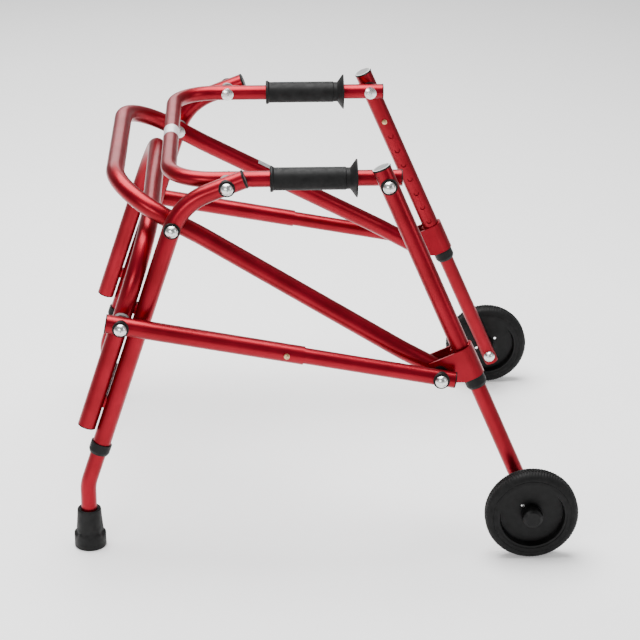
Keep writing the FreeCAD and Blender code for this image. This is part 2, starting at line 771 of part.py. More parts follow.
def handlebar():
    """The U-shaped handlebar with its grips, plugs, blank label and bolts."""
    height = handle_height.value
    width = handle_half_width.value
    front_x = handle_front.x + handle_overhang.value
    points = [
        Vector(front_x, -width, height), Vector(-handle_reach_back.value, -width, height),
        Vector(-handle_reach_back.value, width, height), Vector(front_x, width, height),
    ]
    bends = [handle_bend, handle_bend]
    blank = bent_tube("handlebar_tube", points, bends, INNER_RADIUS, INNER_RADIUS - loop_wall, "handlebar")
    bores = []
    plugs = []
    bolts = []
    for side_name, side in SIDES.items():
        out = Y_AXIS * side
        rear_axis = along_y(handle_rear, width, side)
        front_axis = along_y(handle_front, width, side)
        bores.append(cross_bore("handle_rear_bore_" + side_name, rear_axis, side))
        bores.append(cross_bore("handle_front_bore_" + side_name, front_axis, side))
        plugs.append(handle_plug("handle_plug_" + side_name, Vector(front_x, side * width, height)))
        keep(grip("grip_" + side_name, Vector(handle_rear.x + grip_start.value, side * width, height)))

        rear_head = saddle_head("handle_bolt_head_" + side_name, rear_axis, X_AXIS, INNER_RADIUS, out * -1)
        leg_axis = rear_point(handle_rear.x, handle_rear.z, side)
        seat = leg_axis + out * (OUTER_RADIUS.value + ring_lift.value + pivot_gap.value)
        stem = shank("handle_bolt_shank_" + side_name, rear_axis - out * INNER_RADIUS.value, seat)
        bolts.append(joined("handle_bolt_" + side_name, [rear_head, stem]))
        bolts.append(acorn_nut("handle_nut_" + side_name, seat, out))

        front_head = saddle_head("handle_stud_head_" + side_name, front_axis, X_AXIS, INNER_RADIUS, out * -1)
        stem = shank("handle_stud_shank_" + side_name, front_axis - out * INNER_RADIUS.value,
                     front_axis + out * INNER_RADIUS.value)
        bolts.append(joined("handle_stud_" + side_name, [front_head, stem]))
    keep(cut("handlebar", blank, bores))
    keep(group("handlebar_plugs", plugs))
    keep(group("handlebar_bolts", bolts))

    start = Vector(-handle_reach_back.value, label_offset.value - label_length.value / 2, height)
    outline = [
        (0, INNER_RADIUS), (0, INNER_RADIUS + label_thickness),
        (label_length, INNER_RADIUS + label_thickness), (label_length, INNER_RADIUS),
    ]
    keep(turned("handlebar_label", outline, frame_at(start, Y_AXIS, X_AXIS * -1), angle=label_wrap))


def handle_plug(name, end):
    """A thin plug in the front end of the handlebar."""
    spigot = INNER_RADIUS - loop_wall - spigot_clearance
    radius = INNER_RADIUS + spigot_clearance * 2
    outline = [
        (0, 0), (0, spigot), (cap_spigot, spigot), (cap_spigot, radius),
        (cap_spigot + plug_thickness, radius), (cap_spigot + plug_thickness, 0),
    ]
    return turned(name, outline, frame_at(end - X_AXIS * cap_spigot.value, X_AXIS))


def grip(name, start):
    """A rubber grip with a bead at the rear and a wide hand stop in front."""
    body = grip_dia / 2
    rim = grip_rim_dia / 2
    flange = grip_flange_dia / 2
    groove = body - grip_groove_depth
    groove_back = grip_length - grip_groove_back
    groove_front = grip_length - grip_groove_front
    outline = [
        (0, INNER_RADIUS), (0, rim - grip_bead_round), (grip_bead_round, rim),
        (grip_bead_length, rim), (grip_bead_foot, body), (groove_back, body),
        (groove_back + grip_groove_slope, groove), (groove_front - grip_groove_slope, groove),
        (groove_front, body), (grip_length - grip_flange_thickness, flange),
        (grip_length, flange), (grip_length, INNER_RADIUS),
    ]
    return turned(name, outline, frame_at(start, X_AXIS))


# ---------------------------------------------------------------- back loop

def loop_point(distance, half_width, side):
    """A point in the sloping plane of the back loop."""
    return along_y(loop_pivot + loop_direction * distance, half_width, side)


def back_loop():
    """The back loop: a rear cross bar with two long arms down to the front brackets."""
    front_width = abs(leg_plane_y(front_pivot.z, front_splay, 1))
    half = []
    for side in (-1, 1):
        half.append([
            loop_point(loop_reach.value + loop_overhang.value, front_width, side),
            loop_point(loop_jog_end.value, front_width, side),
            loop_point(loop_jog_start.value, loop_half_width.value, side),
            loop_point(-loop_setback.value, loop_half_width.value, side),
        ])
    points = half[0] + half[1][::-1]
    bends = [loop_jog_bend, loop_jog_bend, loop_bend, loop_bend, loop_jog_bend, loop_jog_bend]
    blank = bent_tube("back_loop_tube", points, bends, OUTER_RADIUS, OUTER_RADIUS - loop_wall, "back_loop")
    bores = []
    bolts = []
    for side_name, side in SIDES.items():
        out = Y_AXIS * side
        pivot = along_y(loop_pivot, loop_half_width.value, side)
        bores.append(cross_bore("loop_bore_" + side_name, pivot, side))
        front_end = along_y(front_pivot, front_width, side)
        bores.append(cross_bore("loop_front_bore_" + side_name, front_end, side))
        head = saddle_head("loop_bolt_head_" + side_name, pivot, loop_direction, OUTER_RADIUS, out * -1)
        leg_axis = rear_leg_point(loop_pivot_height.value, side)
        seat = leg_axis + out * (OUTER_RADIUS.value + ring_lift.value + pivot_gap.value)
        stem = shank("loop_bolt_shank_" + side_name, pivot - out * OUTER_RADIUS.value, seat)
        bolts.append(joined("loop_bolt_" + side_name, [head, stem]))
        bolts.append(acorn_nut("loop_nut_" + side_name, seat, out))
    keep(cut("back_loop", blank, bores))
    keep(group("loop_bolts", bolts))


# ---------------------------------------------------------------- front legs

def front_leg(side_name, side):
    """A front leg tube with its cap, collar, bracket and pivot hardware."""
    out = Y_AXIS * side
    name = "front_leg_" + side_name
    top = front_leg_point(front_top_height.value, side)
    sleeve = collar_length.value - collar_lip.value
    end = front_leg_at(bracket_base.value - bracket_clearance.value - sleeve, side)
    down = end - top
    blank = straight_tube(name + "_tube", top, end, OUTER_RADIUS, OUTER_BORE, "front_leg_length")
    handle_axis = front_leg_point(handle_height.value, side)
    bores = [cross_bore(name + "_handle_bore", handle_axis, side)]
    first_hole = front_leg_at(front_button_distance.value, side)
    bores += height_holes(name, first_hole, down, side, int(hole_count.value))
    keep(cut(name, blank, bores))
    keep(leg_cap("front_leg_cap_" + side_name, top, down * -1))
    keep(collar("front_collar_" + side_name, end, down))
    keep(front_bracket("front_bracket_" + side_name, side))

    ring = saddle_ring("handle_front_ring_" + side_name, handle_axis, down, OUTER_RADIUS, out,
                       ring_dia, ring_lift)
    handle_face = handle_half_width.value + INNER_RADIUS.value + pivot_gap.value
    lift = abs(handle_axis.y) - OUTER_RADIUS.value - handle_face
    spacer = saddle_ring("handle_front_spacer_" + side_name, handle_axis, down, OUTER_RADIUS, out * -1,
                         spacer_dia, cell("handle_spacer_lift", lift))
    seat = handle_axis + out * (OUTER_RADIUS.value + ring_lift.value)
    handle_stem = shank("handle_front_shank_" + side_name, along_y(handle_front, handle_face, side), seat)
    handle_nut = acorn_nut("handle_front_nut_" + side_name, seat, out)

    leg_width = abs(leg_plane_y(front_pivot.z, front_splay, 1))
    flange = bracket_gap.value / 2 + bracket_plate.value
    inner_face = along_y(front_pivot, leg_width - flange, side)
    outer_face = along_y(front_pivot, leg_width + flange, side)
    washer_disc = rod("front_washer_disc_" + side_name, outer_face, out, washer_thickness, ring_dia / 2)
    hole_start = outer_face - out * DRILL_MARGIN
    hole_length = washer_thickness + DRILL_MARGIN * 2
    washer_hole = rod("front_washer_hole_" + side_name, hole_start, out, hole_length, bore_dia / 2)
    washer = cut("front_washer_" + side_name, washer_disc, [washer_hole])
    head = domed_head("front_bolt_head_" + side_name, inner_face, out * -1, flush_skirt)
    stem = shank("front_bolt_shank_" + side_name, inner_face, outer_face + out * washer_thickness.value)
    front_bolt = joined("front_bolt_" + side_name, [head, stem])
    keep(group("front_pivot_bolts_" + side_name, [front_bolt, handle_stem, handle_nut]))
    keep(group("front_pivot_rings_" + side_name, [ring, spacer, washer]))


def front_bracket(name, side):
    """A folded plate that wraps the leg and carries the front pivot between two flanges."""
    body = new_body(name + "_plate")
    sketch = new_sketch(body, "Fold", "YZ_Plane")
    inner = bracket_gap / 2
    outer = inner + bracket_plate
    for radius in (inner, outer):
        circle = Part.Circle(Vector(0, 0, 0), Z_AXIS, radius.value)
        arc = sketch.addGeometry(Part.ArcOfCircle(circle, math.pi / 2, 3 * math.pi / 2))
        sketch.addConstraint(Sketcher.Constraint("Coincident", arc, 3, -1, 1))
        constrain(sketch, radius.formula, "Radius", arc, radius.value)
        for position in (1, 2):
            sketch.addConstraint(Sketcher.Constraint("PointOnObject", arc, position, -2))
    for sign, position in ((1, 1), (-1, 2)):
        spots = [
            Vector(0, sign * inner.value, 0), Vector(bracket_reach.value, sign * inner.value, 0),
            Vector(bracket_reach.value, sign * outer.value, 0), Vector(0, sign * outer.value, 0),
        ]
        lines = [sketch.addGeometry(Part.LineSegment(a, b)) for a, b in zip(spots, spots[1:])]
        sketch.addConstraint(Sketcher.Constraint("Coincident", lines[0], 1, 0, position))
        sketch.addConstraint(Sketcher.Constraint("Coincident", lines[0], 2, lines[1], 1))
        sketch.addConstraint(Sketcher.Constraint("Coincident", lines[1], 2, lines[2], 1))
        sketch.addConstraint(Sketcher.Constraint("Coincident", lines[2], 2, 1, position))
        sketch.addConstraint(Sketcher.Constraint("Horizontal", lines[0]))
        sketch.addConstraint(Sketcher.Constraint("Vertical", lines[1]))
        sketch.addConstraint(Sketcher.Constraint("Horizontal", lines[2]))
        constrain(sketch, bracket_reach.formula, "DistanceX", -1, 1, lines[1], 1, bracket_reach.value)
    doc.recompute()
    pad = body.newObject("PartDesign::Pad", "Plate")
    pad.Profile = sketch
    pad.setExpression("Length", bracket_height.formula)
    base = front_leg_at(bracket_base.value, side)
    middle = abs(leg_plane_y(front_pivot.z, front_splay, 1))
    body.Placement = frame_at(along_y(base, middle, side), front_down * -1, front_back)
    pivot = along_y(front_pivot, middle, side)
    bore = cross_bore(name + "_bore", pivot, side, reach=bolt_reach * 1.5)
    # The flanges end level a little below the pivot, behind the leg.
    trim = doc.addObject("Part::Box", name + "_trim")
    for axis in ("Length", "Width", "Height"):
        trim.setExpression(axis, (bracket_gap * 2).formula)
    half = bracket_gap.value
    leg_back = outer_tube_dia.value / 2
    trim_end = base.x - leg_back - half * 2
    trim.Placement.Base = Vector(trim_end, pivot.y - half, pivot.z - bracket_drop.value - half * 2)
    return cut(name, body, [bore, trim])


def front_inner_leg(side_name, side):
    """The sliding lower front leg with its axle bolt and snap button."""
    out = Y_AXIS * side
    name = "front_leg_inner_" + side_name
    bottom = front_leg_at(-axle_tail.value, side)
    top = front_leg_at(front_button_distance.value + inner_tube_headroom.value, side)
    blank = straight_tube(name + "_tube", bottom, top, INNER_RADIUS, INNER_BORE, "front_inner_length")
    axle = front_leg_at(0, side)
    button_point = front_leg_at(front_button_distance.value, side)
    bores = [
        cross_bore(name + "_axle_bore", axle, side),
        rod(name + "_button_hole", button_point, out * -1, button_reach, hole_dia / 2),
    ]
    keep(cut(name, blank, bores))
    keep(snap_button("front_button_" + side_name, button_point, out * -1))

    inner_seat = axle - out * (INNER_RADIUS.value + axle_nut_gap.value)
    head_seat = along_y(axle, wheel_half_track.value + axle_head_setback.value, side)
    nut = acorn_nut("axle_nut_" + side_name, inner_seat, out * -1)
    stem = shank("axle_shank_" + side_name, inner_seat, head_seat)
    head = rod("axle_head_" + side_name, head_seat, out, axle_head_height, axle_head_dia / 2)
    bolt = joined("axle_stem_" + side_name, [stem, head])
    keep(group("axle_bolt_" + side_name, [bolt, nut]))


def snap_button(name, tube_point, outward):
    """A round snap button on a wide foot that stays inside the inner tube."""
    foot = button_foot_dia / 2
    stud = button_dia / 2
    reach = OUTER_RADIUS - button_root + button_stand
    outline = [
        (0, 0), (0, foot), (button_foot_thickness, foot), (button_foot_thickness, stud),
        (reach - button_dome, stud), (reach, 0),
    ]
    return turned(name, outline, frame_at(tube_point + outward * button_root.value, outward), dome=True)


# ---------------------------------------------------------------- wheels

HUB_HOLE_ANGLES = {"left": 29, "right": 137}


def wheel(side_name, side):
    """A solid rubber tyre on a dished plastic hub with a domed cap."""
    out = Y_AXIS * side
    middle = Vector(axle_x, side * wheel_half_track.value, axle_height)
    half = wheel_width / 2
    rim_radius = wheel_dia / 2 - tread_depth

    tyre = new_body("tyre_" + side_name)
    ring_profile(tyre, wheel_dia / 2, rim_radius)
    pad = tyre.newObject("PartDesign::Pad", "Tread")
    pad.Profile = tyre.Group[0]
    pad.setExpression("Length", wheel_width.formula)
    doc.recompute()
    rounded = []
    for i, edge in enumerate(pad.Shape.Edges):
        if edge.Curve.TypeId == "Part::GeomCircle" and abs(edge.Curve.Radius - wheel_dia.value / 2) < 0.01:
            rounded.append("Edge%d" % (i + 1))
    shoulder = tyre.newObject("PartDesign::Fillet", "Shoulder")
    shoulder.Base = (pad, rounded)
    shoulder.setExpression("Radius", shoulder_radius.formula)
    tyre.Placement = frame_at(middle - out * half.value, out)
    keep(tyre)

    hub_width = wheel_width - hub_side_inset * 2
    web_start = hub_width / 2 - hub_web / 2
    web_end = hub_width / 2 + hub_web / 2
    boss = hub_boss_dia / 2
    bore = bore_dia / 2
    boss_start = middle - out * (hub_width.value / 2)
    leg_face = abs(front_leg_at(0, side).y) + INNER_RADIUS.value
    inner_boss = cell("inner_boss", abs(boss_start.y) - leg_face - hub_leg_gap.value)
    rim = rim_radius - hub_rim_inset
    recess = hub_width / 2 + hub_boss_rise
    outline = [
        (0, bore), (0, boss - hub_boss_taper), (inner_boss, boss - hub_boss_taper),
        (inner_boss + web_start, boss), (inner_boss + web_start, rim - hub_rim_taper),
        (inner_boss, rim), (inner_boss, rim_radius), (inner_boss + hub_width, rim_radius),
        (inner_boss + hub_width, rim), (inner_boss + web_end, rim - hub_rim_taper),
        (inner_boss + web_end, boss), (inner_boss + recess, boss), (inner_boss + recess, bore),
    ]
    start = boss_start - out * inner_boss.value
    hub = turned("wheel_hub_%s_turned" % side_name, outline, frame_at(start, out))
    holes = []
    for i in range(2):
        angle = math.radians(HUB_HOLE_ANGLES[side_name] + 180 * i)
        radial = Vector(math.cos(angle), 0, math.sin(angle)) * (hub_hole_circle.value / 2)
        hole_start = middle + radial - out * half.value
        hole_name = "hub_hole_%s_%d" % (side_name, i + 1)
        holes.append(rod(hole_name, hole_start, out, wheel_width, hub_hole_dia / 2))
    keep(cut("wheel_hub_" + side_name, hub, holes))

    cap = hub_cap_dia / 2
    pocket = hub_cap_pocket_dia / 2
    cap_outline = [
        (0, pocket), (0, cap - hub_cap_edge), (hub_cap_edge, cap),
        (hub_cap_height - hub_cap_shoulder, cap - hub_cap_draft), (hub_cap_height, cap - hub_cap_face_inset),
        (hub_cap_height, 0), (hub_cap_pocket_depth, 0), (hub_cap_pocket_depth, pocket),
    ]
    cap_start = boss_start + out * recess.value
    keep(turned("hub_cap_" + side_name, cap_outline, frame_at(cap_start, out)))


# ---------------------------------------------------------------- rear inner legs

def rear_inner_leg(side_name, side):
    """The sliding lower rear leg, bent upright above its rubber tip."""
    out = Y_AXIS * side
    name = "rear_leg_inner_" + side_name
    knee = rear_leg_point(knee_height.value, side)
    top = rear_leg_point(rear_button_height + inner_tube_headroom.value, side)
    bottom = Vector(knee.x, knee.y, tip_floor.value)
    points = [bottom, knee, top]
    blank = bent_tube(name + "_tube", points, [knee_bend], INNER_RADIUS, INNER_BORE, "rear_inner")
    button_point = rear_leg_point(rear_button_height, side)
    hole = rod(name + "_button_hole", button_point, out * -1, button_reach, hole_dia / 2)
    keep(cut(name, blank, [hole]))
    keep(snap_button("rear_button_" + side_name, button_point, out * -1))

    base = tip_base_dia / 2
    crown = tip_top_dia / 2
    outline = [
        (0, 0), (0, base - tip_edge), (tip_edge, base), (tip_flare_height - tip_flare_ease, base),
        (tip_flare_height + tip_flare_ease, base - tip_flare_step),
        (tip_height - tip_edge, crown), (tip_height, crown - tip_edge), (tip_height, INNER_RADIUS),
        (tip_floor, INNER_RADIUS), (tip_floor, 0),
    ]
    keep(turned("rubber_tip_" + side_name, outline, frame_at(Vector(knee.x, knee.y, 0), Z_AXIS)))


# ---------------------------------------------------------------- side bars

def side_bar(side_name, side):
    """A telescopic side bar from the arch to the front bracket."""
    out = Y_AXIS * side
    rear = along_y(side_pivot, side_rear_half_width.value, side)
    front = along_y(front_pivot, side_front_half_width.value, side)
    along = (front - rear).normalize()
    tail = rear - along * side_tail.value
    mouth = rear + along * side_outer_reach.value
    button_point = mouth - along * side_button_back.value

    name = "side_bar_outer_" + side_name
    blank = straight_tube(name + "_tube", tail, mouth, OUTER_RADIUS, OUTER_BORE, "side_outer_length")
    bores = [
        cross_bore(name + "_bore", rear, side),
        rod(name + "_button_hole", button_point, out, button_reach, hole_dia / 2),
    ]
    keep(cut(name, blank, bores))
    plug = bar_plug("side_bar_plug_" + side_name, tail, along * -1, OUTER_RADIUS, OUTER_BORE)
    ring = saddle_ring("side_ring_" + side_name, rear, along, OUTER_RADIUS, out, ring_dia, ring_lift)
    keep(group("side_bar_rear_trim_" + side_name, [plug, ring]))

    name = "side_bar_inner_" + side_name
    inner_start = mouth - along * side_insertion.value
    nose = front + along * side_nose.value
    blank = straight_tube(name + "_tube", inner_start, nose, INNER_RADIUS, INNER_BORE, "side_inner_length")
    bores = [
        cross_bore(name + "_bore", front, side),
        rod(name + "_button_hole", button_point, out, button_reach, hole_dia / 2),
    ]
    keep(cut(name, blank, bores))
    keep(snap_button("side_button_" + side_name, button_point, out))
    cap = bar_plug("side_bar_nose_" + side_name, nose, along, INNER_RADIUS, INNER_BORE)
    ring = saddle_ring("side_front_ring_" + side_name, front, along, INNER_RADIUS, out, ring_dia, ring_lift)
    keep(group("side_bar_front_trim_" + side_name, [cap, ring]))
    seat = front + out * (INNER_RADIUS.value + ring_lift.value)
    stem = shank("side_front_shank_" + side_name, front - out * INNER_RADIUS.value, seat)
    nut = acorn_nut("side_front_nut_" + side_name, seat, out)
    keep(group("side_bar_bolt_" + side_name, [stem, nut]))


def bar_plug(name, end, outward, radius, bore):
    """A thin plug in the end of a side bar tube."""
    spigot = bore - spigot_clearance
    rim = radius + spigot_clearance
    outline = [
        (0, 0), (0, spigot), (cap_spigot, spigot), (cap_spigot, rim),
        (cap_spigot + plug_thickness, rim), (cap_spigot + plug_thickness, 0),
    ]
    direction = Vector(outward).normalize()
    return turned(name, outline, frame_at(end - direction * cap_spigot.value, direction))


# ---------------------------------------------------------------- assembly and writing

rear_frame()
rear_arch()
arch_tabs()
handlebar()
back_loop()
for side_label, side_sign in SIDES.items():
    front_leg(side_label, side_sign)
    front_inner_leg(side_label, side_sign)
    wheel(side_label, side_sign)
    rear_inner_leg(side_label, side_sign)
    side_bar(side_label, side_sign)
doc.recompute()

for item in doc.Objects:
    if "Invalid" in item.State or "Error" in item.State:
        raise RuntimeError("%s failed: %s" % (item.Label, item.State))
for node in nodes:
    if node.Shape.isNull() or not node.Shape.isValid() or not node.Shape.Solids:
        raise RuntimeError("%s has no valid solid" % node.Label)

os.makedirs("parts", exist_ok=True)
for node in nodes:
    node.Shape.exportStep("parts/%s.step" % node.Label)
print("%d sub-parts written" % len(nodes))
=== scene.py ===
import json
import math

import bmesh
import bpy
from mathutils import Matrix, Vector


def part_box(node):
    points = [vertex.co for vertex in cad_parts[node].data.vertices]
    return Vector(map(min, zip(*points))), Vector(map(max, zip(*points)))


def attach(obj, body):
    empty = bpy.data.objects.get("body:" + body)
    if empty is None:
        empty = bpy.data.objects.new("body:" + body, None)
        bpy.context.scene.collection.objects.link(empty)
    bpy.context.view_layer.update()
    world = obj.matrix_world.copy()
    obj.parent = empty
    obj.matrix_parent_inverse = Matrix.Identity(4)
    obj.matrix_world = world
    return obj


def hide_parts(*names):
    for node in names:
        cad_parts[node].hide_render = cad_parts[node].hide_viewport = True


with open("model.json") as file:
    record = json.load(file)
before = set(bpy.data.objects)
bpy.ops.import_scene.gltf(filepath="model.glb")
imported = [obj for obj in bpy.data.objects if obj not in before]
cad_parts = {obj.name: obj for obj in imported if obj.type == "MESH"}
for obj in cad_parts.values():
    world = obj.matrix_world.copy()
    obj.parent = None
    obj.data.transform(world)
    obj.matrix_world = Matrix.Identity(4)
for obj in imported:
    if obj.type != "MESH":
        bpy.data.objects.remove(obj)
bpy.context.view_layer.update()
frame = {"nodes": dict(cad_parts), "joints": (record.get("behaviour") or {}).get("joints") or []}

# Looks of a child's posterior walking frame. Lengths are metres, in the CAD frame:
# X forward to the wheels, Y to the child's left, Z up.

MM = 0.001
SIDES = {"left": 1, "right": -1}
X_AXIS = Vector((1, 0, 0))
Y_AXIS = Vector((0, 1, 0))
Z_AXIS = Vector((0, 0, 1))

nodes = frame["nodes"]
joints = {joint["name"]: joint for joint in frame["joints"]}

OUTER_RADIUS = 12.7 * MM
INNER_RADIUS = 11.1 * MM


def joint_place(name):
    """Where a joint's axis passes, in the row frame."""
    return Vector(joints[name]["pos_m"])


def joint_axis(name):
    """A joint's unit direction."""
    return Vector(joints[name]["axis"]).normalized()


# ---------------------------------------------------------------- materials

class Shader:
    """One procedural material around a Principled shader, laid out on object coordinates."""

    def __init__(self, name, **sockets):
        self.material = bpy.data.materials.new(name)
        self.material.use_nodes = True
        self.tree = self.material.node_tree
        self.surface = next(n for n in self.tree.nodes if n.type == "BSDF_PRINCIPLED")
        self.place = self.tree.nodes.new("ShaderNodeTexCoord").outputs["Object"]
        for socket, value in sockets.items():
            self.surface.inputs[socket.replace("_", " ")].default_value = value

    def stretched(self, along, share):
        """The place with its distances along one direction shortened, which draws a texture out."""
        dot = self.tree.nodes.new("ShaderNodeVectorMath")
        dot.operation = "DOT_PRODUCT"
        self.tree.links.new(self.place, dot.inputs[0])
        dot.inputs[1].default_value = along
        scale = self.tree.nodes.new("ShaderNodeVectorMath")
        scale.operation = "SCALE"
        scale.inputs[0].default_value = Vector(along) * (share - 1)
        self.tree.links.new(dot.outputs["Value"], scale.inputs["Scale"])
        total = self.tree.nodes.new("ShaderNodeVectorMath")
        total.operation = "ADD"
        self.tree.links.new(self.place, total.inputs[0])
        self.tree.links.new(scale.outputs["Vector"], total.inputs[1])
        return total.outputs["Vector"]

    def noise(self, scale, detail=3.0, place=None):
        """A noise field, about 0 to 1, with this many waves to the metre."""
        field = self.tree.nodes.new("ShaderNodeTexNoise")
        field.inputs["Scale"].default_value = scale
        field.inputs["Detail"].default_value = detail
        self.tree.links.new(place or self.place, field.inputs["Vector"])
        return field.outputs["Fac"]

    def cells(self, scale):
        """The distance to the nearest of many scattered points."""
        field = self.tree.nodes.new("ShaderNodeTexVoronoi")
        field.inputs["Scale"].default_value = scale
        self.tree.links.new(self.place, field.inputs["Vector"])
        return field.outputs["Distance"]

    def spread(self, value, low, high, start=0.35, end=0.65):
        """Maps a field from start to end onto low to high."""
        span = self.tree.nodes.new("ShaderNodeMapRange")
        span.inputs["From Min"].default_value = start
        span.inputs["From Max"].default_value = end
        span.inputs["To Min"].default_value = low
        span.inputs["To Max"].default_value = high
        self.tree.links.new(value, span.inputs["Value"])
        return span.outputs["Result"]

    def colours(self, value, first, second):
        """Blends two colours by a field."""
        blend = self.tree.nodes.new("ShaderNodeMix")
        blend.data_type = "RGBA"
        self.tree.links.new(value, blend.inputs["Factor"])
        blend.inputs["A"].default_value = (*first, 1) if isinstance(first, tuple) else (0, 0, 0, 1)
        blend.inputs["B"].default_value = (*second, 1)
        if not isinstance(first, tuple):
            self.tree.links.new(first, blend.inputs["A"])
        return blend.outputs["Result"]

    def bump(self, height, distance, strength=1.0, under=None):
        """Relief of this depth in metres, laid over another relief if one is given."""
        relief = self.tree.nodes.new("ShaderNodeBump")
        relief.inputs["Distance"].default_value = distance
        relief.inputs["Strength"].default_value = strength
        self.tree.links.new(height, relief.inputs["Height"])
        if under is not None:
            self.tree.links.new(under, relief.inputs["Normal"])
        return relief.outputs["Normal"]

    def finish(self, colour=None, roughness=None, normal=None):
        """Connects what was built to the shader."""
        for socket, value in (("Base Color", colour), ("Roughness", roughness), ("Normal", normal)):
            if value is not None:
                self.tree.links.new(value, self.surface.inputs[socket])
        return self.material


def anodised_red(name, along=None):
    """Satin red anodised aluminium: fine blasted grain, cloudy dye and faint drawing lines."""
    shader = Shader(name, Metallic=0.86, Coat_Weight=0.08, Coat_Roughness=0.2, Coat_IOR=1.5)
    cloud = shader.spread(shader.noise(22), 0.0, 1.0)
    colour = shader.colours(cloud, (0.200, 0.0015, 0.008), (0.255, 0.003, 0.013))
    grain = shader.noise(2600, 2.0)
    speck = shader.spread(grain, 0.0, 0.05, 0.55, 0.8)
    colour = shader.colours(speck, colour, (0.52, 0.03, 0.045))
    roughness = shader.spread(shader.noise(60, 5.0), 0.34, 0.38)
    normal = shader.bump(grain, 0.00001, 0.5)
    if along is not None:
        lines = shader.noise(1800, 3.0, shader.stretched(along, 0.01))
        normal = shader.bump(lines, 0.000008, 0.5, normal)
    return shader.finish(colour, roughness, normal)


def bright_zinc():
    """Bright zinc plate on pressed steel, with a slightly cloudy passivation film."""
    shader = Shader("bright_zinc", Metallic=1.0)
    cloud = shader.spread(shader.noise(240), 0.0, 1.0)
    colour = shader.colours(cloud, (0.62, 0.64, 0.63), (0.78, 0.79, 0.78))
    roughness = shader.spread(shader.noise(700, 4.0), 0.20, 0.36)
    return shader.finish(colour, roughness, shader.bump(shader.noise(900), 0.00002, 0.4))


def moulded(name, dark, light, rough, grain_scale, grain_depth):
    """Moulded plastic or rubber with a spark-eroded grain and uneven sheen."""
    shader = Shader(name, Specular_IOR_Level=0.16)
    mottle = shader.spread(shader.noise(90, 5.0), 0.0, 1.0)
    colour = shader.colours(mottle, dark, light)
    roughness = shader.spread(shader.noise(160, 4.0), rough - 0.06, rough + 0.08)
    grain = shader.bump(shader.cells(grain_scale), grain_depth, 0.6)
    normal = shader.bump(shader.noise(grain_scale * 2), grain_depth / 2, 0.5, grain)
    return shader.finish(colour, roughness, normal)


def dull_brass():
    """Handled brass, a little tarnished."""
    shader = Shader("dull_brass", Metallic=1.0)
    tarnish = shader.spread(shader.noise(420, 4.0), 0.0, 1.0)
    colour = shader.colours(tarnish, (0.36, 0.22, 0.10), (0.72, 0.52, 0.30))
    roughness = shader.spread(shader.noise(800), 0.25, 0.42)
    return shader.finish(colour, roughness, shader.bump(shader.noise(1200), 0.00001, 0.4))


def silvery_film(name):
    """Blank silvery label film with a fine sparkle."""
    shader = Shader(name, Metallic=0.35, Coat_Weight=0.4, Coat_Roughness=0.12)
    sparkle = shader.spread(shader.noise(3200, 2.0), 0.0, 1.0)
    colour = shader.colours(sparkle, (0.60, 0.61, 0.63), (0.78, 0.79, 0.80))
    roughness = shader.spread(shader.noise(150), 0.30, 0.42)
    return shader.finish(colour, roughness, shader.bump(shader.noise(120), 0.00008, 0.3))


def paper_white():
    """The pale studio floor."""
    shader = Shader("studio_floor", Roughness=0.9, Specular_IOR_Level=0.1, Emission_Strength=0.2)
    shader.surface.inputs["Emission Color"].default_value = (1, 1, 1, 1)
    colour = shader.colours(shader.noise(3), (0.90, 0.90, 0.90), (0.93, 0.93, 0.93))
    return shader.finish(colour)


BLACK = moulded("black_plastic_grain", (0.003, 0.003, 0.003), (0.006, 0.006, 0.006), 0.46, 1400, 0.00003)
HUB = moulded("hub_plastic_grain", (0.002, 0.002, 0.002), (0.004, 0.004, 0.004), 0.40, 1100, 0.00003)
GRIP = moulded("grip_rubber_grain", (0.004, 0.004, 0.004), (0.008, 0.008, 0.008), 0.55, 1700, 0.00006)
TIP = moulded("tip_rubber_grain", (0.005, 0.005, 0.005), (0.009, 0.009, 0.009), 0.50, 900, 0.00005)
TYRE = moulded("tyre_rubber_grain", (0.003, 0.003, 0.003), (0.006, 0.006, 0.006), 0.60, 800, 0.00006)
GREY = moulded("grey_plastic_grain", (0.14, 0.145, 0.145), (0.19, 0.195, 0.19), 0.42, 1300, 0.00003)
DARK_GREY = moulded("dark_grey_plastic_grain", (0.055, 0.056, 0.056), (0.080, 0.081, 0.080), 0.44, 1300,
                    0.00003)
# Pale grey for the rounded rim of the front leg caps: a painted highlight along the bevel, lighter than the
# cap's own plastic.
PAINTED_HIGHLIGHT_RIM = moulded("painted_highlight_rim_grain", (0.46, 0.47, 0.46), (0.56, 0.57, 0.56), 0.36, 1300, 0.00002)
ZINC = bright_zinc()
BRASS = dull_brass()
FILM = silvery_film("label_film")


def paint(name, material):
    """Gives a CAD node its material."""
    slots = nodes[name].material_slots
    for slot in slots:
        slot.material = material
    if not slots:
        nodes[name].data.materials.append(material)


